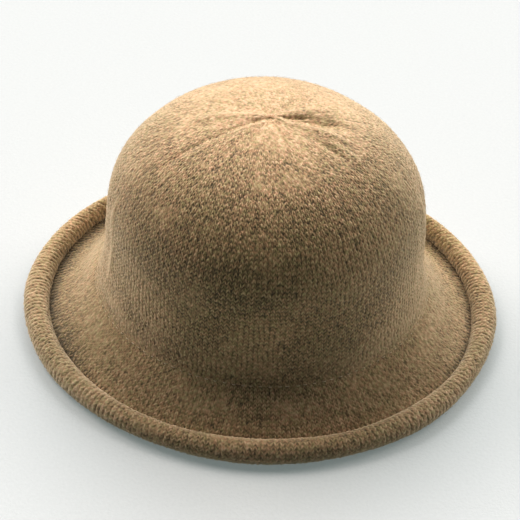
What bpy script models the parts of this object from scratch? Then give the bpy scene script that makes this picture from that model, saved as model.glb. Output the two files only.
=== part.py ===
"""Knitted bowler hat with a rolled brim, resting on its brim.

Frame: metres, +Z up. The origin is on the surface that the brim rests on, under the middle of the hat. The hat is a
little oval, and its long axis, from the wearer's back to the wearer's face, runs along +X.

Every oval is given by its half length along X. Its half width along Y follows from how oval the hat is there.
"""

import math

import bmesh
import bpy
from mathutils import Matrix, Vector

# Driving dimensions.
HAT_HEIGHT = 0.1465  # from the resting surface to the crown's tip
CROWN_REACH = 0.096  # half length of the crown at its foot
CROWN_OVAL = 0.965  # the crown's half width over its half length
SHOULDER_REACH = 0.0933  # half length where the wall turns into the dome
SHOULDER_HEIGHT = 0.080
DOME_SQUARENESS = 2.15  # exponent of the dome's superellipse; 2 is an ellipse
FOOT_HEIGHT = 0.0268  # where the wall's line and the brim's line would cross
FLARE_RADIUS = 0.010  # the concave bend from the wall into the brim
ROLL_REACH = 0.1374  # half length of the oval that the brim is rolled round
ROLL_REACH_ACROSS = 0.1243  # its half width
ROLL_RADIUS = 0.0077
KNIT = 0.0022  # thickness of the knitted wool
GAP = 0.0003  # left between neighbours

TIP_HOLE = 0.0017  # half length of the opening that the gathered stitches leave
YARN_RADIUS = 0.0006
THREAD_RADIUS = 0.00025
KNOT_RADIUS = 0.0017

CORD_RADIUS = 0.0020  # the soft cord in the roll's core
TAPE_THICKNESS = 0.0004  # of the tape wound round the cord's ends
TAPE_LENGTH = 0.018
BAND_THICKNESS = 0.0009
BAND_BOTTOM = 0.0240
BAND_TOP = 0.0540
BAND_STITCHING = 0.0025  # from the sweatband's lower edge up to its stitching
BAND_ENDS_GAP = 0.0006  # between the sweatband's ends, at the back
PATCH = (0.0006, 0.010, 0.026)  # over the sweatband's ends: thickness, width and length
LABEL = (0.0005, 0.020, 0.022)  # thickness, width and length as it hangs
LABEL_HINGE_HEIGHT = 0.0520

SEGMENTS = 40  # round the hat, the same on every oval so that facets lie side by side
ROLL_STEP = math.radians(30)
ROLL_END = math.radians(615)  # how far the rolled sheet winds, from the roll's lowest line

WALL_TAPER = (CROWN_REACH - SHOULDER_REACH) / (SHOULDER_HEIGHT - FOOT_HEIGHT)
LEAN = math.atan(WALL_TAPER)  # the wall's lean from the vertical
ROLL_HEIGHT = ROLL_RADIUS * math.cos(ROLL_STEP / 2)  # the facet under the roll lies flat at zero
LAP = KNIT + GAP  # from one turn of the roll to the next

COLOURS = {
    "knit": (0.33, 0.22, 0.115),
    "yarn": (0.36, 0.25, 0.14),
    "thread": (0.62, 0.55, 0.45),
    "cotton": (0.72, 0.68, 0.60),
    "ribbon": (0.16, 0.115, 0.07),
    "label": (0.78, 0.75, 0.69),
}
FABRIC_ROUGHNESS = 0.95


def clear_scene():
    for obj in list(bpy.data.objects):
        bpy.data.objects.remove(obj)


def material(name):
    made = bpy.data.materials.get(name)
    if made is None:
        made = bpy.data.materials.new(name)
        made.use_nodes = True
        shader = made.node_tree.nodes["Principled BSDF"]
        shader.inputs["Base Color"].default_value = (*COLOURS[name], 1)
        shader.inputs["Roughness"].default_value = FABRIC_ROUGHNESS
        shader.inputs["Metallic"].default_value = 0
    return made


def add(name, data, material_name, parent):
    """An object in the hat's collection, with its own material."""
    obj = bpy.data.objects.new(name, data)
    bpy.data.collections["bowler_hat"].objects.link(obj)
    obj.parent = parent
    data.materials.append(material(material_name))
    return obj


def add_helper(name, data):
    """A cutter or a guide, which is no part of the hat."""
    obj = bpy.data.objects.new(name, data)
    bpy.data.collections["cutters"].objects.link(obj)
    obj.hide_render = True
    obj.display_type = "WIRE"
    return obj


# ---- The hat's outline, in the plane through its long axis -------------------------------------


def brim_drop():
    """How far the brim slopes below the horizontal, so that its lower face runs on round the roll's outside."""
    along, down = ROLL_REACH - CROWN_REACH, FOOT_HEIGHT - ROLL_HEIGHT
    return math.atan2(down, along) + math.asin((ROLL_RADIUS - KNIT) / math.hypot(along, down))


BRIM_DROP = brim_drop()
FLARE_TURN = math.pi / 2 - BRIM_DROP - LEAN  # how far the knit turns from the wall to the brim


def wall_reach(height):
    """Half length of the crown's outer wall at this height."""
    return CROWN_REACH - WALL_TAPER * (height - FOOT_HEIGHT)


def flare_point(turn, inwards=0.0):
    """A point, as (half length, height), on the bend between wall and brim, this far round the bend and this deep
    under the outer surface."""
    start = FOOT_HEIGHT + FLARE_RADIUS * math.tan(FLARE_TURN / 2) * math.cos(LEAN)
    radius = FLARE_RADIUS + inwards
    angle = math.pi + LEAN + turn
    return (
        wall_reach(start) + FLARE_RADIUS * math.cos(LEAN) + radius * math.cos(angle),
        start + FLARE_RADIUS * math.sin(LEAN) + radius * math.sin(angle),
    )


def dome_point(angle):
    """A point of the dome, from 0 at the shoulder to a quarter turn at the tip."""
    power = 2 / DOME_SQUARENESS
    return (
        SHOULDER_REACH * math.cos(angle) ** power,
        SHOULDER_HEIGHT + (HAT_HEIGHT - SHOULDER_HEIGHT) * math.sin(angle) ** power,
    )


def crown_line():
    """The crown from its tip down to the seam with the brim."""
    tip = math.acos((TIP_HOLE / SHOULDER_REACH) ** (DOME_SQUARENESS / 2))
    dome = [dome_point(tip * (1 - step / 10)) for step in range(11)]
    wall = [(wall_reach(height), height) for height in (0.062, 0.044)]
    seam = FLARE_TURN / 2 - GAP / FLARE_RADIUS
    return dome + wall + [flare_point(seam * step / 2) for step in range(3)]


def rolled(turn, sink):
    """A point of the rolled edge, this far round from the roll's lowest line and this deep in the sheet.

    The sheet goes round the outside on a circle. Where it comes back to the sloping brim it lies flat on it, and
    from there it winds on inside, one lap smaller."""
    meets_brim = math.tau - BRIM_DROP
    lap = 0 if turn < meets_brim else 1
    before = meets_brim + lap * math.tau - turn
    radius = ROLL_RADIUS - lap * LAP - sink
    if before < math.pi / 3:
        radius = min(radius, (ROLL_RADIUS - (lap + 1) * LAP - sink) / math.cos(before))
    return ROLL_REACH + radius * math.sin(turn), ROLL_HEIGHT - radius * math.cos(turn)


def brim_side(sink):
    """One face of the brim's sheet, from the seam with the crown, down the slope and round the roll to its end.

    sink is 0 on the face that ends up outside the roll, which is the lower face of the slope."""
    seam = FLARE_TURN / 2 + GAP / FLARE_RADIUS
    flare = [flare_point(turn, KNIT - sink) for turn in (seam, FLARE_TURN)]
    meets_roll = rolled(-BRIM_DROP, sink)
    slope = [tuple(a + (b - a) * step / 3 for a, b in zip(flare[-1], meets_roll)) for step in (1, 2)]
    turns = [ROLL_STEP * (step - 0.5) for step in range(int(ROLL_END / ROLL_STEP) + 1)]
    return flare + slope + [meets_roll] + [rolled(turn, sink) for turn in turns]


def across(reach):
    """Half width of the oval of this half length: the hat is more oval towards the brim's edge."""
    foot = flare_point(FLARE_TURN / 2)[0]
    if reach <= foot:
        return reach * CROWN_OVAL
    share = (reach - foot) / (ROLL_REACH - foot)
    if share >= 1:
        return reach - ROLL_REACH + ROLL_REACH_ACROSS
    return foot * CROWN_OVAL + share * (ROLL_REACH_ACROSS - foot * CROWN_OVAL)


# ---- Shapes ------------------------------------------------------------------------------------


def finished(mesh, name):
    data = bpy.data.meshes.new(name)
    mesh.to_mesh(data)
    mesh.free()
    return data


def surface(name, places, segments, material_name, parent, closed=False):
    """A surface through rings, each a unit circle put in its place and joined to the next."""
    mesh = bmesh.new()
    rings = []
    for place in places:
        made = bmesh.ops.create_circle(mesh, segments=segments, radius=1, matrix=place)
        rings.append(made["verts"])
    following = rings[1:] + rings[:1] if closed else rings[1:]
    for ring, after in zip(rings, following):
        for index in range(segments):
            beside = (index + 1) % segments
            mesh.faces.new((ring[index], ring[beside], after[beside], after[index]))
    bmesh.ops.recalc_face_normals(mesh, faces=mesh.faces)
    data = finished(mesh, name)
    data.shade_smooth()
    return add(name, data, material_name, parent)


def oval_surface(name, points, material_name, parent, closed=False):
    """A surface through horizontal ovals, each given as (half length, height)."""
    places = [
        Matrix.Translation((0, 0, height)) @ Matrix.Diagonal((reach, across(reach), 1, 1))
        for reach, height in points
    ]
    return surface(name, places, SEGMENTS, material_name, parent, closed)


def thicken(obj, thickness):
    """Gives an open surface its thickness, on the inner side."""
    solid = obj.modifiers.new("thickness", "SOLIDIFY")
    solid.thickness = thickness
    solid.offset = -1
    solid.use_even_offset = True


def strand(name, points, radius, material_name, parent, closed=True, fineness=1):
    """A round yarn, thread or cord through these points."""
    curve = bpy.data.curves.new(name, "CURVE")
    curve.dimensions = "3D"
    curve.twist_mode = "Z_UP"
    curve.bevel_depth = radius
    curve.bevel_resolution = fineness
    curve.use_fill_caps = not closed
    spline = curve.splines.new("POLY")
    spline.points.add(len(points) - 1)
    for point, place in zip(spline.points, points):
        point.co = (*place, 1)
    spline.use_cyclic_u = closed
    return add(name, curve, material_name, parent)


def oval_points(reach, width, height, count=SEGMENTS):
    angles = [math.tau * index / count for index in range(count)]
    return [(reach * math.cos(angle), width * math.sin(angle), height) for angle in angles]


def plate(name, size, material_name, parent):
    """A thin rectangular piece of ribbon or label, with its middle at its origin."""
    mesh = bmesh.new()
    bmesh.ops.create_cube(mesh, size=1, matrix=Matrix.Diagonal((*size, 1)))
    return add(name, finished(mesh, name), material_name, parent)


# ---- The pieces --------------------------------------------------------------------------------


def make_crown(hat):
    thicken(oval_surface("crown_knit", crown_line(), "knit", hat), KNIT)


def make_gathering(hat):
    """The yarn drawn through the crown's last stitches, and the knot that fastens it inside."""
    ring = TIP_HOLE - GAP - YARN_RADIUS
    points = oval_points(ring, ring, HAT_HEIGHT - KNIT / 2, count=16)
    strand("crown_gather_yarn", points, YARN_RADIUS, "yarn", hat)
    mesh = bmesh.new()
    bmesh.ops.create_uvsphere(mesh, u_segments=12, v_segments=8, radius=KNOT_RADIUS)
    knot = add("crown_gather_knot", finished(mesh, "crown_gather_knot"), "yarn", hat)
    knot.data.shade_smooth()
    knot.location.z = HAT_HEIGHT - KNIT - 2 * GAP - KNOT_RADIUS


def make_brim(hat):
    """The brim and its rolled edge, which are one sheet."""
    oval_surface("brim_knit", brim_side(0) + brim_side(KNIT)[::-1], "knit", hat, closed=True)


def make_roll_cord(hat):
    """The cord that the brim is rolled round. It is cut at the back, where its ends meet."""
    ring = oval_points(ROLL_REACH, ROLL_REACH_ACROSS, ROLL_HEIGHT)
    back = SEGMENTS // 2
    points = ring[back:] + ring[: back + 1]
    x, _, z = ring[back]
    points[0], points[-1] = (x, -GAP / 2, z), (x, GAP / 2, z)
    strand("roll_cord", points, CORD_RADIUS, "cotton", hat, closed=False, fineness=2)


def make_cord_tape(hat):
    """The tape wound round the cord's two ends."""
    ring = oval_points(ROLL_REACH, ROLL_REACH_ACROSS, ROLL_HEIGHT)
    back = SEGMENTS // 2
    middle, before, after = (Vector(ring[back + side]) for side in (0, -1, 1))
    radius = CORD_RADIUS + GAP + TAPE_THICKNESS
    places = []
    for point, ahead in (
        (middle + (before - middle).normalized() * TAPE_LENGTH / 2, middle - before),
        (middle, after - before),
        (middle + (after - middle).normalized() * TAPE_LENGTH / 2, after - middle),
    ):
        turned = ahead.to_track_quat("Z", "Y").to_matrix().to_4x4()
        places.append(Matrix.Translation(point) @ turned @ Matrix.Diagonal((radius, radius, 1, 1)))
    thicken(surface("cord_joining_tape", places, 12, "cotton", hat), TAPE_THICKNESS)


def make_head_seam(hat):
    """The yarn that links crown to brim, inside, and the needle thread that shows outside."""
    x, z = flare_point(FLARE_TURN / 2, KNIT + GAP + YARN_RADIUS)
    strand("linking_yarn", oval_points(x, across(x), z), YARN_RADIUS, "yarn", hat)
    x, z = flare_point(FLARE_TURN / 2, -(GAP + THREAD_RADIUS))
    strand("needle_thread", oval_points(x, across(x), z), THREAD_RADIUS, "thread", hat)


def band_face(height):
    """Half length of the sweatband's outer face."""
    return wall_reach(height) - KNIT - GAP


def band_back(height):
    """Where the sweatband's inner face is at the back."""
    return -(band_face(height) - BAND_THICKNESS)


def make_sweatband(hat):
    """A ribbon round the inside of the head opening, whose two ends meet at the back."""
    faces = [(band_face(height), height) for height in (BAND_TOP, BAND_BOTTOM)]
    outline = faces + [(reach - BAND_THICKNESS, height) for reach, height in reversed(faces)]
    band = oval_surface("sweatband", outline, "ribbon", hat, closed=True)
    mesh = bmesh.new()
    room = 0.02
    middle = Matrix.Translation((band_back(BAND_BOTTOM), 0, (BAND_BOTTOM + BAND_TOP) / 2))
    size = Matrix.Diagonal((room, BAND_ENDS_GAP, BAND_TOP - BAND_BOTTOM + room, 1))
    bmesh.ops.create_cube(mesh, size=1, matrix=middle @ size)
    cut = band.modifiers.new("ends", "BOOLEAN")
    cut.object = add_helper("sweatband_ends_cutter", finished(mesh, "sweatband_ends_cutter"))
    cut.operation = "DIFFERENCE"
    cut.solver = "EXACT"


def make_bobbin_thread(hat):
    """The seam's other thread, which shows on the sweatband."""
    height = BAND_BOTTOM + BAND_STITCHING
    reach = band_face(height) - BAND_THICKNESS - GAP - THREAD_RADIUS
    strand("bobbin_thread", oval_points(reach, across(reach), height), THREAD_RADIUS, "thread", hat)


def facet_room(width):
    """How far a flat piece of this width stands off the middle of the back, to clear the wall's curve."""
    return width / 2 * math.tan(math.pi / SEGMENTS) * CROWN_REACH / (CROWN_REACH * CROWN_OVAL) + GAP


def make_patch(hat):
    """The patch of ribbon that covers and joins the sweatband's ends. It leans with the wall."""
    patch = plate("sweatband_patch", PATCH, "ribbon", hat)
    height = (BAND_BOTTOM + BAND_TOP) / 2 + BAND_STITCHING / 2
    patch.location = (band_back(height) + facet_room(PATCH[1]) + PATCH[0] / 2, 0, height)
    patch.rotation_euler.y = LEAN


def make_label(hat):
    """A label without print. Its upper edge is sewn to the patch with a bar of thread, and it swings on that bar."""
    front_of_patch = band_back(LABEL_HINGE_HEIGHT) + facet_room(PATCH[1]) + PATCH[0]
    hinge_x = max(
        front_of_patch + 2 * GAP + LABEL[0] / 2,
        band_back(LABEL_HINGE_HEIGHT) + facet_room(LABEL[1]) + LABEL[0] / 2,
    )
    side = LABEL[1] / 2
    bar = [(hinge_x, side * share, LABEL_HINGE_HEIGHT) for share in (-1, -0.5, 0, 0.5, 1)]
    strand("label_stitching", bar, THREAD_RADIUS, "thread", hat, closed=False)
    swing = bpy.data.objects.new("label_swing", None)
    bpy.data.collections["bowler_hat"].objects.link(swing)
    swing.parent = hat
    swing.location = (hinge_x, 0, LABEL_HINGE_HEIGHT)
    label = plate("size_label", LABEL, "label", swing)
    label.location.z = -(THREAD_RADIUS + GAP + LABEL[2] / 2)


def main():
    clear_scene()
    for name in ("bowler_hat", "cutters"):
        bpy.context.scene.collection.children.link(bpy.data.collections.new(name))
    hat = bpy.data.objects.new("hat", None)
    bpy.data.collections["bowler_hat"].objects.link(hat)
    make_crown(hat)
    make_gathering(hat)
    make_brim(hat)
    make_roll_cord(hat)
    make_cord_tape(hat)
    make_head_seam(hat)
    make_sweatband(hat)
    make_bobbin_thread(hat)
    make_patch(hat)
    make_label(hat)


main()
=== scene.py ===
import math
from itertools import product

import bpy
import numpy as np
from mathutils import Matrix, Vector


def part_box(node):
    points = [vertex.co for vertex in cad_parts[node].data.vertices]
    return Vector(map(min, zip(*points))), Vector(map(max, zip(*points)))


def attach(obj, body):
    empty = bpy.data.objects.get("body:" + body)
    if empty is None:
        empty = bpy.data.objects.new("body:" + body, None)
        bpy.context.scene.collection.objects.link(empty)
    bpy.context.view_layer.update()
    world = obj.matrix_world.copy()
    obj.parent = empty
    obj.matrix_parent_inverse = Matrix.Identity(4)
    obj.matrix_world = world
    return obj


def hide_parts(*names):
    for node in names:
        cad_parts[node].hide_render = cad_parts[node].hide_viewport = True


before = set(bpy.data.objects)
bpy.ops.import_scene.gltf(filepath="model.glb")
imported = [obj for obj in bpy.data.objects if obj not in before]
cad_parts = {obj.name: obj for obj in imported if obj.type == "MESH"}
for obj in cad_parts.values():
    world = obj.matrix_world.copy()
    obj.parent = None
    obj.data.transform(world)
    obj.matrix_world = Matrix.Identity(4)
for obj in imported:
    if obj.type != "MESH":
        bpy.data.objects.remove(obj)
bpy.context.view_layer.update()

HAT, LABEL_BODY = "hat", "label"

# Here the front is the side nearest in the photo, -Y, and the back is +Y. The label is at the -X end.
# Lengths are in metres. Angles run anticlockwise from +X, seen from above.

# The hat's own sizes. The outermost ones come from the frame.
HAT_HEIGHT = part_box("crown_knit")[1][2]
BRIM_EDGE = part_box("brim_knit")[1]
CROWN_REACH, CROWN_OVAL = 0.096, 0.965  # half length of the crown's foot, and its half width over that
SHOULDER_REACH, SHOULDER_HEIGHT = 0.0933, 0.080
DOME_SQUARENESS = 2.15
FOOT_HEIGHT = 0.0268
FLARE_RADIUS = 0.010
ROLL_RADIUS = 0.0077
ROLL_HEIGHT = ROLL_RADIUS * math.cos(math.radians(15))
ROLL_REACH = BRIM_EDGE[0] - ROLL_HEIGHT
ROLL_REACH_ACROSS = BRIM_EDGE[1] - ROLL_HEIGHT
ROLL_END = math.radians(600)
KNIT, GAP = 0.0022, 0.0003  # how thick the knitted sheet is, and the least room between two pieces
YARN_RADIUS, THREAD_RADIUS, CORD_RADIUS = 0.0006, 0.00022, 0.0020
BAND_THICKNESS, BAND_BOTTOM, BAND_TOP = 0.0009, 0.0240, 0.0540
BAND_REACH, BAND_REACH_ACROSS = 0.0915, 0.0885
BAND_STITCHING = 0.0265
BAND_ENDS_GAP = 0.0006
GROSGRAIN, RIB_POINTS = 0.00085, 4  # from one rib of the ribbon to the next, and points across one
LABEL_HINGE = (-0.08916, 0.052)  # along the hat, and up
TIP_HOLE = 0.0010
TIP_SHIFT = np.array((-0.0010, 0.0))  # from the hat's axis to where its top is gathered
FLOOR_CLEARANCE = 0.0001

CROWN_WALES, BRIM_WALES = 208, 270
WALE_POINTS = 6  # points across one wale
COURSE = 0.0026
SLANT = 1.7  # courses that a stitch's leg climbs over one wale's width
ROW = COURSE / 3
BEND_POINTS, SLOPE_POINTS = 30, 58  # of the brim's outline, before its roll starts
rng = np.random.default_rng(7)


def joined(*columns):
    """Arrays side by side as the columns of one, such as x, y and z. A number fills its whole column."""
    return np.stack(np.broadcast_arrays(*columns), -1)


# ---- Noise ----


def hashed(cells, seed):
    """A number from 0 to 1 for each row of whole numbers."""
    mixed = np.full(len(cells), seed * 2654435761 % 4294967296, np.uint64)
    for column in cells.T.astype(np.int64).astype(np.uint64):
        mixed = (mixed ^ column) * np.uint64(0x9E3779B97F4A7C15)
        mixed ^= mixed >> np.uint64(29)
    return (mixed >> np.uint64(11)).astype(float) / float(1 << 53)


def noise(points, size, seed):
    """Smooth noise from 0 to 1 whose blobs have about this size."""
    scaled = points / size
    base = np.floor(scaled)
    part = scaled - base
    part = part * part * (3 - 2 * part)
    total = np.zeros(len(points))
    for corner in product((0, 1), repeat=points.shape[1]):
        share = np.prod(np.where(corner, part, 1 - part), axis=1)
        total += share * hashed(base + corner, seed)
    return total


def unrest(points, size, seed):
    """Smooth noise from -0.5 to 0.5."""
    return noise(points, size, seed) - 0.5


def rise(value, low, high):
    """0 below low, 1 above high, and smooth between them."""
    share = np.clip((value - low) / (high - low), 0, 1)
    return share * share * (3 - 2 * share)


def bell(value, width):
    """1 at zero, falling smoothly to nothing at about twice the width."""
    return np.exp(-((value / width) ** 2))


def turn_of(place):
    return np.arctan2(place[:, 1], place[:, 0])


def towards_front(place, low, high):
    """1 at the hat's front and 0 at its back. low and high say how far round it falls."""
    return rise(-np.sin(turn_of(place)), low, high)


def angle_off(place, degrees):
    """How far round the hat each place is from a direction."""
    return np.remainder(turn_of(place) - math.radians(degrees) + math.pi, math.tau) - math.pi


# ---- The hat's outline, in the plane through its long axis ----

WALL_TAPER = (CROWN_REACH - SHOULDER_REACH) / (SHOULDER_HEIGHT - FOOT_HEIGHT)
LEAN = math.atan(WALL_TAPER)
BRIM_ALONG, BRIM_DOWN = ROLL_REACH - CROWN_REACH, FOOT_HEIGHT - ROLL_HEIGHT
BRIM_DROP = math.atan2(BRIM_DOWN, BRIM_ALONG)
BRIM_DROP += math.asin((ROLL_RADIUS - KNIT) / math.hypot(BRIM_ALONG, BRIM_DOWN))
FLARE_TURN = math.pi / 2 - BRIM_DROP - LEAN
SEAM = FLARE_TURN / 2


def wall_reach(height):
    return CROWN_REACH - WALL_TAPER * (height - FOOT_HEIGHT)


def flare(turn, inwards=0.0):
    """Points on the bend between wall and brim."""
    start = FOOT_HEIGHT + FLARE_RADIUS * math.tan(SEAM) * math.cos(LEAN)
    radius, angle = FLARE_RADIUS + inwards, math.pi + LEAN + np.asarray(turn)
    reach = wall_reach(start) + FLARE_RADIUS * math.cos(LEAN) + radius * np.cos(angle)
    return joined(reach, start + FLARE_RADIUS * math.sin(LEAN) + radius * np.sin(angle))


def crown_outline(sink):
    """The crown from tip to seam, this deep in the knit. Its dome is a superellipse over a straight wall."""
    turns = np.linspace(math.acos((TIP_HOLE / SHOULDER_REACH) ** (DOME_SQUARENESS / 2)), 0, 900)
    power = 2 / DOME_SQUARENESS
    reach = (SHOULDER_REACH - sink) * np.cos(turns) ** power
    height = SHOULDER_HEIGHT + (HAT_HEIGHT - SHOULDER_HEIGHT - sink) * np.sin(turns) ** power
    bend = flare(np.linspace(0, SEAM + 0.01, 40), sink)
    return np.concatenate([joined(reach, height), bend])


def rolled(turn, sink):
    """Points of the rolled edge, this far round from its lowest line and this deep in the sheet.

    Where the sheet comes back to the slope it lies flat on it, and from there it winds on one lap smaller."""
    turn = np.asarray(turn, float)
    meets_brim = math.tau - BRIM_DROP
    lap = np.where(turn < meets_brim, 0, 1)
    before = meets_brim + lap * math.tau - turn
    radius = ROLL_RADIUS - lap * (KNIT + GAP) - sink
    flat = (ROLL_RADIUS - (lap + 1) * (KNIT + GAP) - sink) / np.cos(np.clip(before, 0, math.pi / 3))
    radius = np.where(before < math.pi / 3, np.minimum(radius, flat), radius)
    return joined(ROLL_REACH + radius * np.sin(turn), ROLL_HEIGHT - radius * np.cos(turn))


def brim_outline(sink):
    """One face of the brim's sheet, from the seam down the slope and round the roll.

    sink is 0 on the face that ends up outside the roll, which is the lower face of the slope."""
    bend = flare(np.linspace(SEAM - 0.01, FLARE_TURN, BEND_POINTS), KNIT - sink)
    roll = rolled(np.linspace(-BRIM_DROP, ROLL_END, 900), sink)
    slope = bend[-1] + (roll[0] - bend[-1]) * np.linspace(0, 1, SLOPE_POINTS + 2)[1:-1, None]
    return np.concatenate([bend, slope, roll])


def across(reach):
    """Half width of the oval of each half length."""
    foot = flare(SEAM)[0]
    share = np.clip((reach - foot) / (ROLL_REACH - foot), 0, 1)
    between = foot * CROWN_OVAL + share * (ROLL_REACH_ACROSS - foot * CROWN_OVAL)
    return np.where(reach <= foot, reach * CROWN_OVAL, between + np.maximum(reach - ROLL_REACH, 0))


def lengths_along(outline):
    return np.concatenate([[0], np.cumsum(np.hypot(*np.diff(outline, axis=0).T))])


def at_distance(outline, lengths, distances):
    """Points of the outline at these distances along it, with the normals on its left side."""
    point, ahead, behind = (
        joined(*(np.interp(distances + step, lengths, outline[:, i]) for i in (0, 1)))
        for step in (0, 2e-4, -2e-4)
    )
    tangent = ahead - behind
    tangent /= np.maximum(np.hypot(*tangent.T), 1e-12)[:, None]
    return point, joined(-tangent[:, 1], tangent[:, 0])


def swept(points, normals, angles):
    """Points of the outline put round the hat's oval, one for each angle, and their normals."""
    reach, height = points.T
    width = across(reach)
    place = joined(reach * np.cos(angles), width * np.sin(angles), height)
    out = joined(width * np.cos(angles), reach * np.sin(angles))
    out /= np.maximum(np.hypot(*out.T), 1e-9)[:, None]
    return place, np.column_stack([out * normals[:, :1], normals[:, 1]])


# ---- How this one hat differs from the plain shape ----

# Folds that run out from the gathered tip: direction in degrees, from, to, width and height.
TIP_FOLDS = (
    (3, 0.008, 0.044, 0.0044, -0.0018),
    (1, 0.020, 0.050, 0.0040, -0.0011),
    (12, 0.005, 0.026, 0.0009, -0.0007),
    (-5, 0.014, 0.036, 0.0009, -0.0007),
    (-15, 0.004, 0.050, 0.0026, 0.0011),
    (25, 0.005, 0.040, 0.0028, 0.0008),
    (207, 0.0045, 0.013, 0.0017, -0.0013),
    (206, 0.010, 0.075, 0.0020, -0.0007),
    (176, 0.004, 0.050, 0.0030, 0.0010),
    (222, 0.006, 0.040, 0.0026, 0.0005),
    (-31, 0.030, 0.056, 0.0020, -0.0007),
    (-24, 0.036, 0.066, 0.0022, 0.0006),
    (52, 0.010, 0.034, 0.0020, -0.0006),
    (118, 0.005, 0.032, 0.0018, -0.0008),
    (150, 0.010, 0.044, 0.0020, -0.0006),
    (250, 0.006, 0.022, 0.0018, -0.0006),
    (290, 0.005, 0.024, 0.0018, -0.0006),
)
# Pressed folds up the crown's sides: direction in degrees, from and to which height, width and strength.
SIDE_CREASES = (
    (199, 0.034, 0.116, 0.0034, 0.90),
    (187, 0.048, 0.098, 0.0042, 0.55),
    (-19, 0.040, 0.106, 0.0040, 0.60),
    (-8, 0.052, 0.120, 0.0034, 0.75),
)
# The brim's back half: where it starts to turn up, how far its edge goes up and in, and the valley's depth.
TURN_UP_STARTS, EDGE_LIFT, EDGE_PULL, VALLEY_DEPTH = 0.74, 0.0050, 0.0085, 0.0045
# The filling of the crown's foot: all round, more at the sides, more at the back, and how far it reaches.
FILLET, FILLET_SIDES, FILLET_BACK, FILLET_WIDTH = 0.0007, 0.0031, 0.0007, 0.014


def tip_folds(place):
    """How far the folds, puckers and dimple at the gathered tip move the knit out or in."""
    radius = np.hypot(place[:, 0], place[:, 1])
    total = np.zeros(len(place))
    for degrees, near, far, width, height in TIP_FOLDS:
        off = angle_off(place, degrees)
        sideways = radius * np.sin(np.clip(off, -1.5, 1.5)) + (np.abs(off) > 1.5)
        reach = rise(radius, near * 0.5, near * 1.3) * (1 - rise(radius, far * 0.7, far))
        total += height * reach * bell(sideways, width)
    pucker = np.sin(turn_of(place) * 17 + 3 * noise(place, 0.02, 5)) * bell(radius, 0.011)
    dimple = -0.0011 * bell(radius, 0.0035)
    return (total + 0.00018 * pucker + dimple) * (place[:, 2] > SHOULDER_HEIGHT)


def side_creases(place):
    """From 0 to 1 on the pressed folds that a soft hat gets when it is stored flat."""
    height = place[:, 2:]
    total = np.zeros(len(place))
    for number, (degrees, low, high, width, strength) in enumerate(SIDE_CREASES):
        wander = 0.0064 * unrest(height, 0.035, 90 + number) + 0.0012 * unrest(height, 0.009, 95 + number)
        faint = 0.55 + 0.45 * rise(noise(height, 0.016, 70 + number), 0.2, 0.6)
        ends = rise(height[:, 0], low, low + 0.022) * (1 - rise(height[:, 0], high - 0.026, high))
        total += strength * faint * ends * bell(angle_off(place, degrees) * SHOULDER_REACH + wander, width)
    return total


def fillet(place, from_seam):
    """How far the crown's foot is filled out: more softly at the sides and the back than at the front."""
    turn = turn_of(place)
    soft = FILLET + FILLET_SIDES * np.abs(np.cos(turn)) ** 4 + FILLET_BACK * np.clip(np.sin(turn), 0, 1)
    return soft * bell(from_seam, FILLET_WIDTH)


def turned_up(place):
    """The brim's back half is turned up a little, with a valley between it and the crown."""
    outwards = np.hypot(place[:, 0] / ROLL_REACH, place[:, 1] / ROLL_REACH_ACROSS)
    share = np.clip((outwards - TURN_UP_STARTS) / (1 - TURN_UP_STARTS), 0, 1.2)
    behind = rise(np.sin(turn_of(place)), -0.45, 0.70)
    valley = np.sin(math.pi * np.clip(share * 1.15, 0, 1)) ** 1.5
    moved = place.copy()
    moved[:, 1] -= EDGE_PULL * behind * share**2
    moved[:, 2] += behind * (EDGE_LIFT * share**2 - VALLEY_DEPTH * valley)
    return moved


def handmade(place, normals):
    """Moves points by the slow waves of a soft hat, which rests on its floor.

    It stays flat round the place where the label is sewn in."""
    wave = unrest(place, 0.055, 21) * 0.0016 + unrest(place, 0.024, 22) * 0.0006
    from_label = np.linalg.norm(place - (-CROWN_REACH, 0, 0.040), axis=1)
    moved = place + normals * (wave * rise(from_label, 0.018, 0.045))[:, None]
    near_tip = bell(np.hypot(place[:, 0], place[:, 1]), 0.028) * (place[:, 2] > SHOULDER_HEIGHT)
    moved[:, :2] += near_tip[:, None] * TIP_SHIFT
    moved = turned_up(moved)
    moved[:, 2] = np.maximum(moved[:, 2], FLOOR_CLEARANCE)
    return moved


# ---- Meshes ----


def mesh_of(name, points, groups, depth=None):
    """A mesh from points and groups of faces, with each point's height in the knit."""
    data = bpy.data.meshes.new(name)
    data.vertices.add(len(points))
    data.vertices.foreach_set("co", points.astype(np.float32).ravel())
    corners = np.concatenate([group.ravel() for group in groups])
    sizes = np.concatenate([np.full(len(group), group.shape[1]) for group in groups])
    data.loops.add(len(corners))
    data.loops.foreach_set("vertex_index", corners.astype(np.int32))
    data.polygons.add(len(sizes))
    data.polygons.foreach_set("loop_start", np.concatenate([[0], np.cumsum(sizes)[:-1]]).astype(np.int32))
    data.polygons.foreach_set("use_smooth", np.ones(len(sizes), bool))
    data.update(calc_edges=True)
    if depth is not None:
        field = data.attributes.new("depth", "FLOAT", "POINT")
        field.data.foreach_set("value", depth.astype(np.float32))
    piece = bpy.data.objects.new(name, data)
    bpy.context.scene.collection.objects.link(piece)
    return piece


def tube_faces(count, sides, closed=False):
    """Faces of a tube through this many cross-sections, with a lid on each end unless it closes to a ring."""
    i, k = np.meshgrid(np.arange(sides), np.arange(count if closed else count - 1))
    j, after = (i + 1) % sides, (k + 1) % count
    faces = joined(k * sides + i, k * sides + j, after * sides + j, after * sides + i).reshape(-1, 4)
    if closed:
        return [faces]
    return [faces, np.arange(sides)[None, ::-1], (count - 1) * sides + np.arange(sides)[None]]


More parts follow.
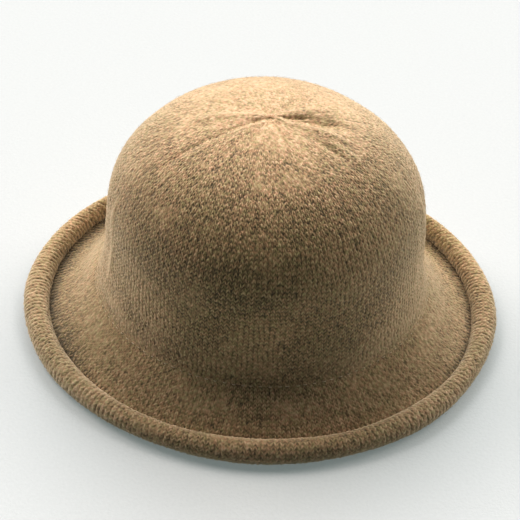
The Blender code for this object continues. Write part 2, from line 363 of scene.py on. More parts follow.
def repeated(groups, times, size):
    """The same groups of faces for each of several bodies, which have this many points each."""
    firsts = np.arange(times)[:, None, None] * size
    return [(firsts + group).reshape(-1, group.shape[1]) for group in groups]


def lofted(name, sections, closed=False, depth=None):
    """A closed body from cross-sections of equal numbers of points, each of shape (m, 3)."""
    sections = np.asarray(sections, float)
    return mesh_of(name, sections.reshape(-1, 3), tube_faces(*sections.shape[:2], closed), depth)


def circle(sides):
    return np.arange(sides) * math.tau / sides


def circles_along(path, closed, sides):
    """A circle of unit vectors across a path for each of its points, twisting as little as can be."""
    ahead = np.roll(path, -1, 0) - np.roll(path, 1, 0)
    if not closed:
        ahead[0], ahead[-1] = path[1] - path[0], path[-1] - path[-2]
    ahead /= np.linalg.norm(ahead, axis=1)[:, None]
    side = np.cross(ahead[0], (0.0, 0.0, 1.0))
    if np.linalg.norm(side) < 1e-3:
        side = np.array((1.0, 0.0, 0.0))
    first = np.empty_like(path)
    for number, direction in enumerate(ahead):
        side = side - direction * side.dot(direction)
        first[number] = side = side / np.linalg.norm(side)
    second, around = np.cross(ahead, first), circle(sides)
    return np.cos(around)[None, :, None] * first[:, None] + np.sin(around)[None, :, None] * second[:, None]


def strand(name, path, radius, pitch, closed=False, sides=8, plies=2):
    """A round strand of twisted plies along a path. pitch is the length of one full turn."""
    groove = 0.22  # how deep the grooves between the plies are, over the radius
    steps = np.linalg.norm(np.diff(path, axis=0), axis=1)
    along = np.concatenate([[0], np.cumsum(steps)])
    whole = along[-1] + (np.linalg.norm(path[0] - path[-1]) if closed else 0)
    turns = max(round(whole / pitch), 1) / whole
    twist = circle(sides)[None] - math.tau * turns * along[:, None]
    lobes = 1 - groove + groove * np.abs(np.cos(plies / 2 * twist))
    points = path[:, None] + radius * lobes[..., None] * circles_along(path, closed, sides)
    return lofted(name, points, closed, depth=(lobes.ravel() - 1 + groove) / groove)


def strands(name, paths, radius):
    """Several plain closed strands as one mesh. All have as many points."""
    count, sides = len(paths[0]), 6
    places = np.concatenate([path[:, None] + radius * circles_along(path, False, sides) for path in paths])
    groups = repeated(tube_faces(count, sides), len(paths), count * sides)
    return mesh_of(name, places.reshape(-1, 3), groups, np.full(places[..., 0].size, 0.8))


class Rings:
    """Rings of points round the hat that become one mesh, each joined to the next, the last to the first."""

    def __init__(self):
        self.points, self.depth, self.outs, self.sizes, self.shown = [], [], [], [], []

    def add(self, points, depth, out, shown):
        self.points.append(points)
        self.depth.append(depth)
        self.outs.append(out)
        self.sizes.append(len(points))
        self.shown.append(np.full(len(points), shown))

    def join(self, first, second, size_one, size_two):
        """Faces between two rings. One may have twice the other's points."""
        if size_one == size_two:
            i = np.arange(size_one)
            j = (i + 1) % size_one
            return [joined(first + i, second + i, second + j, first + j)]
        if size_one < size_two:
            return [face[:, ::-1] for face in self.join(second, first, size_two, size_one)]
        i = np.arange(size_two)
        j = (i + 1) % size_two
        near, middle, far = first + 2 * i, first + 2 * i + 1, first + (2 * i + 2) % size_one
        return [
            joined(near, second + i, middle),
            joined(middle, second + i, second + j),
            joined(middle, second + j, far),
        ]

    def mesh(self, name):
        starts = np.concatenate([[0], np.cumsum(self.sizes)])
        groups = []
        for k in range(len(self.sizes)):
            after = (k + 1) % len(self.sizes)
            groups += self.join(starts[k], starts[after], self.sizes[k], self.sizes[after])
        quads = np.concatenate([group for group in groups if group.shape[1] == 4])
        threes = [group for group in groups if group.shape[1] == 3]
        return mesh_of(name, np.concatenate(self.points), [quads] + threes, np.concatenate(self.depth))


# ---- Knitting ----


def stitches(wale, course, seed, ribbed):
    """How high the yarn stands, from 0 in the gaps to 1 on the legs of the V-shaped stitches.

    Where it is ribbed, the legs run together into one ridge for each wale. Some gaps are felted shut."""
    offset = wale - np.floor(wale) - 0.5
    side = np.abs(offset)
    across_leg = np.sin(math.tau * np.clip(side, 0, 0.5)) ** 0.75
    leg = np.where(side < 0.25, 0.45 + 0.55 * across_leg, 0.08 + 0.92 * across_leg)
    row = course - SLANT * side
    number = np.floor(row + 0.5)
    grain = 0.5 + 0.5 * np.cos(math.tau * row)
    gap = np.floor(wale + 0.5)
    shut = hashed(joined(gap, number), seed + 10)
    leg = leg + (0.60 - leg) * rise(side, 0.22, 0.42) * rise(shut, 0.45, 0.80)
    uneven = 0.55 + 0.65 * hashed(joined(np.floor(wale), number, offset > 0), seed)
    depth = 0.30 + 0.70 * hashed(joined(gap, np.floor(course / 1.5)), seed + 20)
    ridge = 1 - (1 - np.cos(math.pi * offset) ** 0.8) * depth
    ridge = ridge * (0.74 + 0.26 * grain) * (0.75 + 0.25 * uneven)
    return leg * (0.22 + 0.78 * grain) * uneven * (1 - ribbed) + ridge * ribbed


def wales_at(reach, angle):
    """How many wales the crown has at this reach. They get fewer towards the tip, here and there."""
    ragged = reach + 0.006 * unrest(joined(angle * 9, 0.0), 1.0, 3)
    level = np.ceil(np.log(np.clip(ragged / 0.075, 0.02, 1)) / math.log(0.8) - 1e-9)
    return np.round(CROWN_WALES * 0.8 ** np.clip(level, 0, 16))


def felted(place):
    """How far the wool is matted, from 0 to 1: in patches, on top, at the foot's sides and the brim's front."""
    patches = noise(place, 0.020, 41) * 0.6 + noise(place, 0.006, 42) * 0.4
    out = np.hypot(place[:, 0], place[:, 1])
    beside = 0.45 * np.abs(np.cos(turn_of(place))) * bell(out - 0.104, 0.013)
    front = 0.12 * towards_front(place, 0.35, 0.95) * rise(out, 0.095, 0.105)
    low = place[:, 2] < 0.04
    top = 0.48 * rise(place[:, 2] + 0.35 * place[:, 1], 0.124, 0.155)
    return np.clip(0.10 + 0.42 * rise(patches, 0.45, 0.85) + (beside + front) * low + top, 0, 0.85)


class Face:
    """One face of a knitted sheet: its outline, and how its stitches are laid."""

    def __init__(self, outline, wales, deep, side=1, seed=1, seam_first=False):
        self.outline, self.wales, self.deep, self.side, self.seed = outline, wales, deep, side, seed
        self.lengths = lengths_along(outline)
        self.length = self.lengths[-1]
        self.seam = 0.0 if seam_first else self.length

    def ring(self, distance, count, shape, wales_of=None, sharp=1.0):
        """One ring of points, with their heights in the knit and the directions out of it.

        Its rows follow the slanting legs where the points fit the wales."""
        angle = circle(count)
        fits = count == self.wales * WALE_POINTS
        side = np.abs((np.arange(count) * self.wales / count) % 1 - 0.5)
        ends = rise(min(distance, self.length - distance), 0.0005, 0.004)
        shift = fits * SLANT * (side - 0.25) * COURSE * ends * shape.aligned(distance)
        along = np.clip(distance + shift, 0, self.length)
        points, normals = at_distance(self.outline, self.lengths, along)
        place, out = swept(points, normals, angle)
        wale = angle * (self.wales if wales_of is None else wales_of(points[:, 0], angle)) / math.tau
        wander = 0.40 * unrest(place, 0.010, 31) + 0.40 * unrest(place, 0.004, 32)
        uneven = 0.5 * unrest(joined(wale, along / 0.02), 1.0, 33)
        course = along / COURSE + 0.25 * SLANT + uneven
        height = stitches(wale + wander, course, self.seed, shape.ribbed(place, along))
        creased = side_creases(place) * (self.side > 0)
        matted = np.clip(felted(place) + 0.6 * creased, 0, 0.9)
        height = height + (0.60 - height) * matted
        dashes = unrest(joined(wale * 2.1, along / 0.0022), 1.0, 44)
        fluff = unrest(place, 0.0011, 43) + 0.45 * dashes
        soft = rise(points[:, 0], TIP_HOLE + 0.001, 0.012)
        soft = soft * (0.35 + 0.65 * rise(np.abs(along - self.seam), 0.0002, 0.0030))
        lift = self.side * (height - shape.level(place, along) + 0.55 * fluff) * self.deep * sharp * soft
        lift += shape.macro(place, along)
        moved = handmade(place + out * lift[:, None], out)
        # The colour paints shade in the knit's gaps from its height, a highlight along the pressed folds, and
        # the shape's painted shade.
        colour = height + 0.45 * fluff + 0.25 * creased - shape.painted_groove_shade(place, along)
        return moved, np.clip(colour, 0, 1.2), out * self.side


class CrownShape:
    """Plain from the tip down to the shoulder, and a little ribbed in patches below it."""

    def __init__(self, length):
        self.length = length

    def aligned(self, distance):
        return float(rise(distance, 0.085, 0.095))

    def ribbed(self, place, distance):
        patches = noise(place, 0.030, 34)
        return 0.42 * rise(patches, 0.35, 0.75) * rise(distance, 0.070, 0.105)

    # The crown gets no painted shade.
    def painted_groove_shade(self, place, distance):
        return 0.0

    def level(self, place, distance):
        return 0.5

    def macro(self, place, distance):
        return tip_folds(place) + 0.0008 * side_creases(place) + fillet(place, self.length - distance)


class BrimShape:
    """Plain on the slope, and ribbed towards the roll and round it, though least at the front.

    The upper face is the slope's top, which ends up inside the roll."""

    def __init__(self, face, upper):
        self.roll_starts, self.upper = float(face.lengths[BEND_POINTS + SLOPE_POINTS]), upper
        self.lap = ROLL_RADIUS * (math.tau - 0.35)  # the way round the roll until it meets the slope

    def aligned(self, distance):
        return 1.0

    def ribbed(self, place, distance):
        at_front = towards_front(place, 0.72, 0.97)
        patches = noise(place, 0.028, 34)
        near = rise(distance, self.roll_starts - 0.014 - 0.010 * (1 - at_front), self.roll_starts)
        sides = (0.16 + 0.40 * rise(patches, 0.25, 0.7)) * (1 - at_front)
        return 0.20 * patches * (1 - near) + near * (sides + 0.12)

    def level(self, place, distance):
        """Which height in the knit lies on the plain outline. The roll is slimmer except at the front."""
        at_front = towards_front(place, 0.3, 0.9)
        on_roll = 0.0 if self.upper else rise(distance, self.roll_starts, self.roll_starts + 0.010)
        return 0.5 + (0.75 - 0.65 * at_front) * on_roll

    def painted_groove_shade(self, place, distance):
        """Painted shade: how much darker the wool is coloured where shade falls.

        That is the groove beside the roll, and a little the valley at the back, more to the left."""
        turn = turn_of(place)
        at_front, to_left = towards_front(place, 0.3, 0.9), 0.55 - 0.45 * np.cos(turn)
        into = distance - self.roll_starts if self.upper else self.roll_starts + self.lap - distance
        reach = np.where(into < 0, 0.0070 + 0.0066 * (1 - at_front) * to_left, 0.0070)
        dark = 0.45 * (1 - (0.55 if self.upper else 1.0) * at_front) * bell(into, reach)
        if self.upper:
            on_slope = rise(distance, 0, 0.010) * (1 - rise(distance, 0.014, self.roll_starts))
            dark += 0.26 * on_slope * rise(np.sin(turn), 0.05, 0.6) * to_left
        return dark

    def macro(self, place, distance):
        groove = 0.0014 * bell(distance - self.roll_starts, 0.0042) if self.upper else 0.0
        return fillet(place, distance) + groove


def crown_count(reach):
    """Points in a ring: fewer towards the tip, so that the faces stay about as wide as they are long."""
    full = CROWN_WALES * WALE_POINTS
    for least, share in ((0.055, 1), (0.028, 2), (0.014, 4), (0.0065, 8)):
        if reach > least:
            return full // share
    return full // 16


def make_crown():
    """The knitted crown: its outer face from tip to seam, and its inner face back to the tip."""
    outer = Face(crown_outline(0), CROWN_WALES, 0.00085)
    inner = Face(crown_outline(KNIT - 0.0002), CROWN_WALES, 0.0006, side=-1, seed=2)
    rings, full = Rings(), CROWN_WALES * WALE_POINTS
    down = np.append(np.arange(0, outer.length - ROW / 2, ROW), outer.length)
    back = np.append(np.arange(inner.length, ROW, -1.5 * ROW), 0)
    for face, distances, most, sharp in ((outer, down, full, 1.0), (inner, back, full // 2, 0.8)):
        shape = CrownShape(face.length)
        for distance in distances:
            reach = at_distance(face.outline, face.lengths, np.array([distance]))[0][0, 0]
            ring = face.ring(distance, min(crown_count(reach), most), shape, wales_at, sharp)
            rings.add(*ring, shown=face is outer)
    return rings.mesh("knitted_crown"), rings


def make_brim():
    """The brim and its rolled edge, which are one sheet."""
    upper = Face(brim_outline(KNIT), BRIM_WALES, 0.00080, side=1, seed=3, seam_first=True)
    lower = Face(brim_outline(0), BRIM_WALES, 0.00100, side=-1, seed=4, seam_first=True)
    full, rings = BRIM_WALES * WALE_POINTS, Rings()

    def add(face, distance, shape, hides, thins):
        """Adds a ring, of fewer points where it is hidden in the roll, and returns the way to the next."""
        hidden = distance > hides
        share = 4 if distance > thins else 2 if hidden else 1
        rings.add(*face.ring(distance, full // share, shape), shown=not hidden)
        return ROW * (2 if hidden else 1)

    shape = BrimShape(upper, True)
    distance = 0.0
    while distance < upper.length:
        distance += add(upper, distance, shape, shape.roll_starts + 0.004, shape.roll_starts + 0.009)
    shape = BrimShape(lower, False)
    emerges = shape.roll_starts + ROLL_RADIUS * (math.tau + 0.1)
    distance = lower.length
    while distance > 0:
        distance -= add(lower, distance, shape, emerges, emerges + 0.006)
    add(lower, 0.0, shape, emerges, emerges + 0.006)
    return rings.mesh("knitted_brim"), rings


def make_fuzz(name, sources, count, radius, seed):
    """Loose fibres that stand out of the wool, each a thin closed tube of three sides."""
    random = np.random.default_rng(seed)
    points, outs, shown = (
        np.concatenate([ring for rings in sources for ring in getattr(rings, kind)])
        for kind in ("points", "outs", "shown")
    )
    picked = random.choice(np.flatnonzero(shown), count)
    start, out = points[picked], outs[picked]
    flat = random.normal(size=(count, 3))
    flat -= out * (flat * out).sum(1)[:, None]
    flat /= np.linalg.norm(flat, axis=1)[:, None]
    curl = np.cross(out, flat)
    length = random.uniform(0.0014, 0.0040, (count, 1))
    lift, bend = random.uniform(0.15, 0.75, (count, 1)), random.uniform(-1.3, 1.3, (count, 1))
    steps, around = np.linspace(0, 1, 5), circle(3)
    path = start[:, None] + flat[:, None] * (length * steps)[..., None]
    path += out[:, None] * (length * lift * np.sin(2.2 * steps) * 0.5 - 0.0001)[..., None]
    path += curl[:, None] * (length * bend * steps * steps * 0.5)[..., None]
    ring = out[:, None] * np.cos(around)[:, None] + curl[:, None] * np.sin(around)[:, None]
    sections = path[:, :, None] + ring[:, None] * (radius * (1 - 0.6 * steps))[:, None, None]
    sections[..., 2] = np.maximum(sections[..., 2], FLOOR_CLEARANCE / 2)
    faces = [np.roll(group[:, ::-1], 1, 1) for group in tube_faces(len(steps), len(around))]
    groups = repeated(faces, count, len(steps) * len(around))
    return mesh_of(name, sections.reshape(-1, 3), groups)


# ---- Yarns, threads, ribbon, label and cord ----


def round_oval(reach, height, count, first=0.0, last=math.tau, closed=True):
    """Points on the oval at this half length and height, and the level directions out of them."""
    angles = np.linspace(first, last, count, endpoint=not closed)
    points = np.tile((reach, height), (count, 1))
    return swept(points, joined(np.ones(count), 0.0), angles)


def on_the_seam(place, out):
    return handmade(place + out * fillet(place, 0.0)[:, None], out)


def make_gather_yarn():
    """Two turns of yarn drawn tight through the tip's last stitches."""
    turns = np.linspace(0, 2 * math.tau, 60)
    height = HAT_HEIGHT - KNIT / 2 - 0.0006 + 0.0003 * np.cos(turns / 2)
    radius = 0.00052 + 0.00005 * np.sin(3 * turns)
    path = joined(TIP_SHIFT[0] + radius * np.cos(turns), radius * np.sin(turns), height)
    return strand("gather_yarn", path, 0.00042, 0.0022, sides=10)


def make_gather_knot():
    """The knot inside the tip, with its two cut ends."""
    turns = np.linspace(0.25, math.tau - 0.25, 90)
    size = 0.00040
    knot = size * joined(np.sin(turns) + 2 * np.sin(2 * turns), np.cos(turns) - 2 * np.cos(2 * turns),
                         -1.8 * np.sin(3 * turns))
    knot += (TIP_SHIFT[0], 0, HAT_HEIGHT - KNIT - 2 * GAP - 0.0031)
    steps = np.linspace(0, 1, 14)[1:, None]
    ends = []
    for start, side in ((knot[0], -1), (knot[-1], 1)):
        fall = np.array((0.0022 * side, 0.0012 * side, -0.0075))
        ends.append(start + fall * steps + np.array((side, 0.5, 0)) * 0.0009 * np.sin(3.0 * steps))
    path = np.concatenate([ends[0][::-1], knot, ends[1]])
    return strand("gather_knot", path, 0.00047, 0.0026, sides=10)


def make_linking_yarn():
    """The wavy row of yarn that links crown to brim, inside."""
    loop_points = 6
    count = CROWN_WALES * loop_points
    reach, height = flare(SEAM, KNIT + GAP + YARN_RADIUS)
    place, out = round_oval(reach, height, count)
    loops = np.arange(count) * math.tau / loop_points
    place[:, 2] += 0.00045 * np.sin(loops)
    place += out * (0.00015 * np.cos(loops / 2))[:, None]
    return strand("linking_yarn_row", on_the_seam(place, out), 0.0005, 0.0034, closed=True)


def make_needle_stitches():
    """The seam's stitches outside: short pale lengths of thread that dip into the knit between them."""
    count, points = 118, 9
    reach, height = flare(SEAM)
    paths = []
    for number in range(count):
        middle = (number + rng.uniform(-0.12, 0.12)) * math.tau / count
        half = rng.uniform(0.34, 0.52) * 0.0055 / reach / 2
        place, out = round_oval(reach, height, points, middle - half, middle + half, closed=False)
        lift = 0.00052 - 0.0013 * np.linspace(-1, 1, points) ** 4
        place = on_the_seam(place, out) + out * lift[:, None]
        place[:, 2] += lift * 0.7 + rng.uniform(-0.0002, 0.0002)
        paths.append(place)
    return strands("needle_stitches", paths, 0.00016)


def band_face(height):
    return wall_reach(height) - KNIT - GAP


def make_bobbin_thread():
    """The row of stitches that shows on the sweatband: each dips into the ribbon at its ends."""
    stitches_round, points = 190, 6
    count = stitches_round * points
    reach = band_face(BAND_STITCHING) - BAND_THICKNESS - THREAD_RADIUS
    place, out = round_oval(reach, BAND_STITCHING, count)
    dip = np.abs(np.cos(np.arange(count) * math.pi / points)) ** 6
    place = handmade(place, out) + out * (dip * 0.0006)[:, None]
    return strand("bobbin_stitches", place, THREAD_RADIUS, 0.0016, closed=True, sides=6)


def ribbed_ribbon(name, stations, section_of, count):
    """A woven ribbon with ribs across it. section_of gives each station's outline, raised by the rib there."""
    ribs = np.abs(np.sin(math.pi * np.arange(count) / RIB_POINTS)) ** 0.8
    sections = [section_of(station, 0.00010 * (rib - 0.5)) for station, rib in zip(stations, ribs)]
    depth = np.repeat(0.15 + 0.85 * ribs[::-1], len(sections[0]))
    return lofted(name, sections[::-1], depth=depth)


def make_sweatband():
    """The grosgrain sweatband. Its ends meet behind the label, and its free upper edge stands off the knit."""
    count = round(math.tau * BAND_REACH / GROSGRAIN) * RIB_POINTS
    half_gap = BAND_ENDS_GAP / 2 / BAND_REACH
    angles = np.linspace(-math.pi + half_gap, math.pi - half_gap, count)
    levels = np.linspace(0, 1, 13)
    edges = 0.00010 * bell(np.minimum(levels, 1 - levels), 0.05)

    def section(angle, rib):
        heights = BAND_BOTTOM + (BAND_TOP - BAND_BOTTOM) * levels
        outer = joined(band_face(heights), heights)
        inner = joined(band_face(heights) - BAND_THICKNESS - edges - rib, heights)
        outer[:, 0] += rib
        loop = np.concatenate([outer, inner[::-1]])
        place, out = swept(loop, joined(np.ones(len(loop)), 0.0), np.full(len(loop), angle))
        free = rise(loop[:, 1], 0.034, BAND_TOP) * (1 - math.exp(-(((abs(angle) - math.pi) / 0.35) ** 2)))
        middle = np.array([[BAND_REACH * math.cos(angle), BAND_REACH_ACROSS * math.sin(angle), 0.0]])
        wave = 0.0003 + 0.0013 * noise(middle, 0.045, 51)[0]
        return handmade(place - out * (free * wave)[:, None], out)

    return ribbed_ribbon("grosgrain_sweatband", angles, section, count)


def make_patch():
    """The small piece of the same ribbon that covers the sweatband's joint."""
    low, high = (Vector(corner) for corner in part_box("sweatband_patch"))
    width, thick = high.y - low.y, 0.0006
    count = round(width / GROSGRAIN) * RIB_POINTS + 1
    levels = np.linspace(0, 1, 15)

    def section(across_patch, rib):
        heights = low.z + (high.z - low.z) * levels
        back = low.x + (heights - low.z) * math.tan(LEAN)
        curl = 0.00018 * (2 * levels - 1) ** 6
        front = back + thick + rib + curl
        reach, height = np.append(back + curl, front[::-1]), np.append(heights, heights[::-1])
        return joined(reach, across_patch, height)

    return ribbed_ribbon("joint_patch", np.linspace(high.y, low.y, count), section, count)


def make_label():
    """The soft woven label, with its folded-in ends. It curls forward a little at its free edge."""
    low, high = (Vector(corner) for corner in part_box("size_label"))
    columns, rows = 81, 89
    across_label, up = np.meshgrid(np.linspace(low.y, high.y, columns), np.linspace(0, 1, rows))
    heights = low.z + (high.z - low.z) * up
    hang = (1 - up) ** 2
    curl = hang * (0.0009 + 0.0004 * np.cos(across_label * 190) + 0.00035 * across_label / high.y)
    curl += 0.00010 * np.sin(across_label * 400 + 3 * up)
    hem = 0.00008 * (bell(up - 0.10, 0.008) + bell(up - 0.90, 0.008))
    weave = np.sin(across_label * math.tau / 0.001) * (0.6 + 0.4 * np.sin(heights * math.tau / 0.001))
    half = 0.00017 - hem + 0.00003 * weave
    centre = (low.x + high.x) / 2 + curl
    front, back = (joined(centre + side * half, across_label, heights).reshape(-1, 3) for side in (1, -1))
    i, k = np.meshgrid(np.arange(columns - 1), np.arange(rows - 1))
    corner = (k * columns + i).ravel()
    quads = joined(corner, corner + 1, corner + columns + 1, corner + columns)
    size = columns * rows
    rim = np.concatenate([np.arange(columns), columns * np.arange(2, rows + 1) - 1,
                          (rows - 1) * columns + np.arange(columns - 2, -1, -1),
                          columns * np.arange(rows - 2, 0, -1)])
    after = np.roll(rim, -1)
    sides = joined(rim, rim + size, after + size, after)
    depth = np.tile((0.62 + 0.22 * weave - 4000 * hem).ravel(), 2)
    return mesh_of("woven_label", np.concatenate([front, back]), [quads, quads[:, ::-1] + size, sides],
                   np.clip(depth, 0, 1))


def make_label_bar():
    """The bar of thread that the label hangs on, tacked down to the patch and the sweatband."""
    x, z = LABEL_HINGE
    y = np.linspace(-0.0099, 0.0099, 40)
    bar = joined(x, y, z)
    bar[0] += (-0.0017, -0.0003, 0)
    bar[-1] += (-0.0017, 0.0003, 0)
    paths = [bar + (0, 0, 0.00008), bar[::-1] - (0, 0, 0.00008)]
    turns = np.radians(np.linspace(90, -90, 36))
    for middle in (-0.0040, -0.0012, 0.0016, 0.0044):
        loop = joined(x + 0.00034 * np.cos(turns), middle, z + 0.00034 * np.sin(turns))
        into = (x - 0.00125, middle)
        paths.append(np.concatenate([[(*into, z + 0.0004), (x - 0.0006, middle, z + 0.00036)], loop,
                                     [(x - 0.0006, middle, z - 0.00036), (*into, z - 0.0004)]]))
    return strands("label_bar", paths, 0.00013)


def make_label_loops():
    """The loops of thread that hold the label's upper edge to its bar."""
    x, z = LABEL_HINGE
    paths = []
    for number in range(10):
        middle = (number - 4.5) * 0.0020
        turns = np.radians(np.linspace(-75, 255, 22))
        tall = np.where(np.sin(turns) > 0, 0.00042, 0.00075)
        paths.append(joined(x + 0.00042 * np.cos(turns), middle + np.linspace(-0.0004, 0.0004, 22),
                            z - 0.00012 + tall * np.sin(turns)))
    return strands("label_loops", paths, 0.00012)


def make_roll_cord():
    """The twisted cotton cord inside the roll. Its cut ends meet at the -X end."""
    half_gap = GAP / ROLL_REACH
    place, _ = round_oval(ROLL_REACH, ROLL_HEIGHT, 480, -math.pi + half_gap, math.pi - half_gap, closed=False)
    return strand("twisted_roll_cord", turned_up(place), CORD_RADIUS, 0.013, sides=18, plies=3)


def make_cord_tape():
    """Cotton tape wound round the cord's two ends: a tube that shows the edge of each turn outside."""
    length, stations, sides = 0.018, 41, 24
    reach = length / 2 / ROLL_REACH
    place, out = round_oval(ROLL_REACH, ROLL_HEIGHT, stations, math.pi - reach, math.pi + reach, closed=False)
    place, around, up = turned_up(place), circle(sides), np.array((0.0, 0.0, 1.0))
    sections = []
    for radius, edge, order in ((0.00265, 0.00010, 1), (0.00225, 0.0, -1)):
        for number in range(stations)[::order]:
            wound = (around / math.tau + number / 13) % 1
            ring = np.cos(around)[:, None] * out[number] + np.sin(around)[:, None] * up
            sections.append(place[number] + ring * (radius + edge * (1 - wound))[:, None])
    return lofted("wound_tape", sections[::-1], closed=True, depth=np.full(len(sections) * sides, 0.6))


# ---- Materials ----


def new_material(name):
    made = bpy.data.materials.new(name)
    made.use_nodes = True
    return made, made.node_tree, made.node_tree.nodes["Principled BSDF"]


def node(tree, kind, **values):
    made = tree.nodes.new(kind)
    for key, value in values.items():
        if key in made.inputs:
            made.inputs[key].default_value = value
        else:
            setattr(made, key, value)
    return made


def computed(tree, operation, *values):
    """A Math node's result. Each value is a number or another node's output."""
    made = node(tree, "ShaderNodeMath", operation=operation)
    for socket, value in zip(made.inputs, values):
        if isinstance(value, float):
            socket.default_value = value
        else:
            tree.links.new(value, socket)
    return made.outputs[0]


def ramp(tree, source, stops):
    made = node(tree, "ShaderNodeValToRGB")
    elements = made.color_ramp.elements
    while len(elements) < len(stops):
        elements.new(0.5)
    for element, (at, colour) in zip(elements, stops):
        element.position, element.color = at, (*colour, 1)
    tree.links.new(source, made.inputs["Fac"])
    return made.outputs["Color"]


def multiplied(tree, first, second):
    made = node(tree, "ShaderNodeMix", data_type="RGBA", blend_type="MULTIPLY")
    made.inputs[0].default_value = 1.0
    tree.links.new(first, made.inputs[6])
    tree.links.new(second, made.inputs[7])
    return made.outputs[2]


def grain(tree, place, scale, detail=2.0, roughness=0.6):
    made = node(tree, "ShaderNodeTexNoise", Scale=scale, Detail=detail, Roughness=roughness)
    tree.links.new(place, made.inputs["Vector"])
    return made.outputs["Fac"]


# Painted light and shade on the wool, by height: darker at the brim's front, paler on the top.
WOOL_PAINTED_LIGHT = (
    (0.0, (0.86, 0.89, 0.87)),
    (0.018, (0.94, 0.96, 0.91)),
    (0.046, (1.05, 1.05, 0.93)),
    (0.088, (0.88, 0.88, 0.77)),
    (0.112, (1.04, 1.04, 0.98)),
    (0.146, (1.31, 1.31, 1.36)),
)


def height_for_painted_light(tree, place):
    """How high a point is, counting the back of the hat as a little higher than the front. It sets the wool's
    painted light and shade.
    """
    made = node(tree, "ShaderNodeVectorMath", operation="DOT_PRODUCT")
    tree.links.new(place, made.inputs[0])
    made.inputs[1].default_value = (0.0, 0.2, 1.0)
    return made.outputs["Value"]


def bumped(tree, height, shader, strength, distance):
    made = node(tree, "ShaderNodeBump", Strength=strength, Distance=distance)
    tree.links.new(height, made.inputs["Height"])
    tree.links.new(made.outputs["Normal"], shader.inputs["Normal"])


def set_inputs(made, values):
    for name, value in values.items():
        made.inputs[name].default_value = value


def fabric_finish(shader, sheen):
    set_inputs(shader, {"Roughness": 0.95, "Specular IOR Level": 0.15, "Sheen Weight": sheen,
                        "Sheen Roughness": 0.6, "Sheen Tint": (0.95, 0.82, 0.64, 1)})


def fibrous(name, dark, middle, light, fine=1500.0, bump=0.35, sheen=1.0, mixed=0.1, painted_light_by_height=()):
    """Fuzzy spun fibre: painted shade in the gaps between yarns, mixed with lighter and darker fibres.

    fine is the fibres' number in a metre, bump how much they stand out, mixed how much their hues differ, and
    painted_light_by_height the light and shade painted on by height."""
    made, tree, shader = new_material(name)
    place = node(tree, "ShaderNodeTexCoord").outputs["Object"]
    depth = node(tree, "ShaderNodeAttribute", attribute_name="depth").outputs["Fac"]
    fibres = grain(tree, place, fine, 3.0, 0.7)
    flecks = grain(tree, place, fine * 0.3)
    patches = grain(tree, place, fine * 0.017, 3.0)
    hues = grain(tree, place, fine * 0.36, 1.0)
    height = computed(tree, "SUBTRACT", computed(tree, "MULTIPLY_ADD", flecks, 0.5, depth), 0.25)
    # Low depth, in the gaps between yarns and plies and between ribs, gets painted shade.
    colour = ramp(tree, height, ((0.11, dark), (0.50, middle), (0.88, light)))
    plain = (1.0, 1.0, 1.0)
    green, red = (1 - mixed, 1 + 0.3 * mixed, 1 - mixed), (1 + mixed, 1 - 0.3 * mixed, 1.0)
    tints = [
        (fibres, ((0.30, (0.80, 0.82, 0.84)), (0.5, plain), (0.70, (1.18, 1.13, 1.08)))),
        (hues, ((0.32, green), (0.5, plain), (0.68, red))),
        (patches, ((0.35, (0.93, 0.96, 0.92)), (0.65, (1.06, 1.03, 1.04)))),
    ]
    # Painted light and shade by height.
    if painted_light_by_height:
        tints.append((height_for_painted_light(tree, place), painted_light_by_height))
    for source, stops in tints:
        colour = multiplied(tree, colour, ramp(tree, source, stops))
    tree.links.new(colour, shader.inputs["Base Color"])
    bumped(tree, fibres, shader, bump, 0.0004)
    fabric_finish(shader, sheen)
    return made


def plain_fibre(name, colour):
    made, _, shader = new_material(name)
    set_inputs(shader, {"Base Color": (*colour, 1)})
    fabric_finish(shader, 0.2)
    return made


def dress(piece, material, slot, *replaced, body=HAT):
    piece.data.materials.append(material)
    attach(piece, body)
    if replaced:
        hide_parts(*replaced)
    return piece


# ---- The scene ----

# Soft lights: name, degrees round the hat from its back, degrees up, share of a full sun, and colour.
SUNS = (
    ("back", 0, 40, 0.92, (0.96, 0.97, 0.98)),
    ("left", -57, 46, 0.99, (1.05, 0.97, 0.94)),
    ("right", 57, 46, 0.67, (1.04, 0.97, 0.93)),
)
SUN_WIDTH = math.radians(40)
# The camera, fitted to the hat's outline in the photo. The tilt is downwards, and the lens in millimetres.
CAMERA_TARGET, CAMERA_DISTANCE = Vector((-0.00198, 0, 0.03951)), 0.9497
CAMERA_TILT, CAMERA_ROLL, CAMERA_LENS = math.radians(41.56), 0.057, 108.7
FLOOR_HALF = 6.0


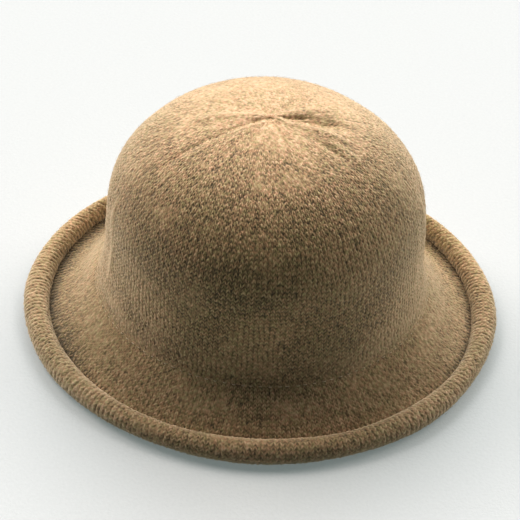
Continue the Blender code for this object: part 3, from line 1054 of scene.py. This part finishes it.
def add_stage():
    """A pale floor, soft light and the camera."""
    scene = bpy.context.scene
    corners = FLOOR_HALF * np.array([(-1, -1, 0), (1, -1, 0), (1, 1, 0), (-1, 1, 0)])
    floor = mesh_of("floor", corners, [np.arange(4)[None]])
    made, tree, shader = new_material("pale_cloth")
    place = node(tree, "ShaderNodeTexCoord").outputs["Object"]
    threads = grain(tree, place, 520.0, 3.0, 0.6)
    colour = ramp(tree, threads, ((0.3, (0.366, 0.366, 0.368)), (0.7, (0.388, 0.388, 0.390))))
    tree.links.new(colour, shader.inputs["Base Color"])
    set_inputs(shader, {"Roughness": 0.95, "Emission Color": (0.85, 0.98, 0.98, 1), "Emission Strength": 0.245})
    bumped(tree, threads, shader, 0.25, 0.0006)
    floor.data.materials.append(made)

    world = bpy.data.worlds.new("studio")
    scene.world = world
    world.use_nodes = True
    set_inputs(world.node_tree.nodes["Background"], {"Color": (0.76, 1.0, 0.88, 1), "Strength": 0.104})
    for name, round_hat, up, share, colour in SUNS:
        light = bpy.data.lights.new(name, "SUN")
        light.angle, light.energy, light.color = SUN_WIDTH, math.pi * share, colour
        lamp = bpy.data.objects.new(name, light)
        lamp.rotation_euler = (math.radians(up - 90), 0, math.radians(-round_hat))
        scene.collection.objects.link(lamp)

    scene.view_settings.view_transform = "Standard"
    scene.view_settings.gamma = 0.77
    lens = bpy.data.cameras.new("camera")
    lens.lens = CAMERA_LENS
    camera = bpy.data.objects.new("camera", lens)
    away = Vector((0, -CAMERA_DISTANCE * math.cos(CAMERA_TILT), CAMERA_DISTANCE * math.sin(CAMERA_TILT)))
    camera.location = CAMERA_TARGET + away
    facing = (CAMERA_TARGET - camera.location).to_track_quat("-Z", "Y").to_matrix()
    camera.rotation_euler = (facing @ Matrix.Rotation(CAMERA_ROLL, 3, "Z")).to_euler()
    scene.collection.objects.link(camera)
    scene.camera = camera


def main():
    camel = fibrous("camel_wool", (0.042, 0.031, 0.017), (0.316, 0.223, 0.126), (0.53, 0.400, 0.282),
                    painted_light_by_height=WOOL_PAINTED_LIGHT)
    crown, crown_rings = make_crown()
    dress(crown, camel, "knit", "crown_knit")
    brim, brim_rings = make_brim()
    dress(brim, camel, "knit", "brim_knit")
    shades = ((0.42, 0.29, 0.165), (0.60, 0.455, 0.30), (0.27, 0.18, 0.095))
    for number, shade in enumerate(shades, 1):
        fuzz = make_fuzz(f"loose_fibres_{number}", (crown_rings, brim_rings), 7400, 0.00003, 60 + number)
        dress(fuzz, plain_fibre(f"loose_wool_{number}", shade), "knit")

    yarn = fibrous("camel_yarn", (0.06, 0.042, 0.022), (0.36, 0.25, 0.14), (0.54, 0.40, 0.25), fine=3000.0)
    dress(make_gather_yarn(), yarn, "yarn", "crown_gather_yarn")
    dress(make_gather_knot(), yarn, "yarn", "crown_gather_knot")
    dress(make_linking_yarn(), yarn, "yarn", "linking_yarn")
    thread = fibrous("pale_thread", (0.30, 0.26, 0.20), (0.55, 0.48, 0.38), (0.68, 0.61, 0.50), fine=4500.0,
                     sheen=0.3, mixed=0.03)
    dress(make_needle_stitches(), thread, "thread", "needle_thread")
    dress(make_bobbin_thread(), thread, "thread", "bobbin_thread")
    dress(make_label_bar(), thread, "thread", "label_stitching")
    dress(make_label_loops(), thread, "thread", body=LABEL_BODY)
    grosgrain = fibrous("brown_grosgrain", (0.035, 0.024, 0.014), (0.16, 0.115, 0.07), (0.25, 0.19, 0.125),
                        fine=2600.0, bump=0.25, sheen=0.2, mixed=0.04)
    dress(make_sweatband(), grosgrain, "ribbon", "sweatband")
    dress(make_patch(), grosgrain, "ribbon", "sweatband_patch")
    satin = fibrous("plain_satin", (0.45, 0.42, 0.37), (0.74, 0.71, 0.65), (0.86, 0.83, 0.77), fine=5000.0,
                    bump=0.2, sheen=0.2, mixed=0.02)
    label = dress(make_label(), satin, "label", "size_label", body=LABEL_BODY)
    cotton = fibrous("undyed_cotton", (0.30, 0.27, 0.22), (0.68, 0.64, 0.56), (0.82, 0.79, 0.72), fine=2600.0,
                     sheen=0.3, mixed=0.03)
    dress(make_roll_cord(), cotton, "cotton", "roll_cord")
    dress(make_cord_tape(), cotton, "cotton", "cord_joining_tape")
    add_stage()


main()
